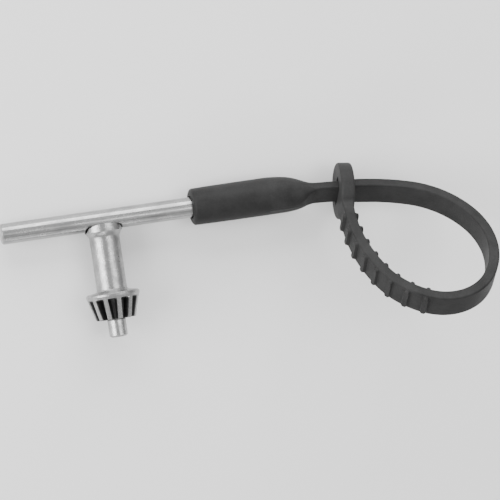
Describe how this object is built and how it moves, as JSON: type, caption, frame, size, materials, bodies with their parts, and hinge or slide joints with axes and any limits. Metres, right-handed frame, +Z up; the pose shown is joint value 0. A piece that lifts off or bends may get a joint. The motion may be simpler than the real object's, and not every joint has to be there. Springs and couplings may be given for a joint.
{
  "type": "chuck key with leash",
  "caption": "Steel T-handle key with a bevel pinion and pilot pin, its long arm in a rubber leash that loops round through a slotted head.",
  "frame": {"origin": "centre of the footprint, on the surface that the key lies on", "axes": "+X along the key from the bar's free end towards the leash's loop, +Z up, so the pilot pin points towards -Y"},
  "size_m": [0.1776, 0.0566, 0.0606],
  "materials": {
    "bar_steel": "bright zinc-plated bar, drawn along its length",
    "key_steel": "bright tumbled forging, speckled and slightly rough",
    "rubber": "matt dark grey moulded rubber"
  },
  "bodies": {
    "key": {"t_bar": "bar_steel", "key_body": "key_steel"},
    "sleeve": {"sleeve": "rubber"},
    "shoulder": {"shoulder": "rubber"},
    "neck": {"strap_neck": "rubber"},
    "bend": {"strap_bend": "rubber"},
    "side": {"strap_side": "rubber"},
    "foot": {"strap_foot": "rubber"},
    "ribs": {"ribbed_lower": "rubber"},
    "loop_end": {"ribbed_upper": "rubber", "head": "rubber"}
  },
  "joints": [
    {"name": "sleeve_slide", "type": "slide", "parent": "key", "child": "sleeve", "axis": [0.9996, 0, 0.0267], "range_m": [0, 0.024]},
    {"name": "leash_turn", "type": "hinge", "parent": "sleeve", "child": "shoulder", "pos_m": [0.01177, 0.01929, 0.00836], "axis": [0.9996, 0, 0.0267], "continuous": true},
    {"name": "neck_flex", "type": "hinge", "parent": "shoulder", "child": "neck", "pos_m": [0.03331, 0.01795, 0.01039], "axis": [0.0182, -0.7339, -0.679], "range_deg": [-25, 25], "stiffness_Nm_per_rad": 0.06},
    {"name": "bend_flex", "type": "hinge", "parent": "neck", "child": "bend", "pos_m": [0.06592, 0.01354, 0.01602], "axis": [0.0182, -0.7339, -0.679], "range_deg": [-2.9, 1.3], "stiffness_Nm_per_rad": 0.03},
    {"name": "side_flex", "type": "hinge", "parent": "bend", "child": "side", "pos_m": [0.08384, 0.00248, 0.02845], "axis": [0.0182, -0.7339, -0.679], "range_deg": [-3.4, 1.5], "stiffness_Nm_per_rad": 0.03},
    {"name": "foot_flex", "type": "hinge", "parent": "side", "child": "foot", "pos_m": [0.0785, -0.01955, 0.05212], "axis": [0.0182, -0.7339, -0.679], "range_deg": [-0.7, 1.5], "stiffness_Nm_per_rad": 0.03},
    {"name": "cinch", "type": "hinge", "parent": "foot", "child": "ribs", "pos_m": [0.05603, -0.02248, 0.0547], "axis": [0.0182, -0.7339, -0.679], "range_deg": [-1.9, 5.2], "stiffness_Nm_per_rad": 0.05},
    {"name": "end_flex", "type": "hinge", "parent": "ribs", "child": "loop_end", "pos_m": [0.04057, -0.00925, 0.03998], "axis": [0.0182, -0.7339, -0.679], "range_deg": [-1.8, 4.4], "stiffness_Nm_per_rad": 0.03}
  ],
  "couplings": [
    {"joint": "bend_flex", "follows": "cinch", "ratio": -0.498},
    {"joint": "side_flex", "follows": "cinch", "ratio": -0.589},
    {"joint": "foot_flex", "follows": "cinch", "ratio": 0.237},
    {"joint": "end_flex", "follows": "cinch", "ratio": 0.793}
  ]
}
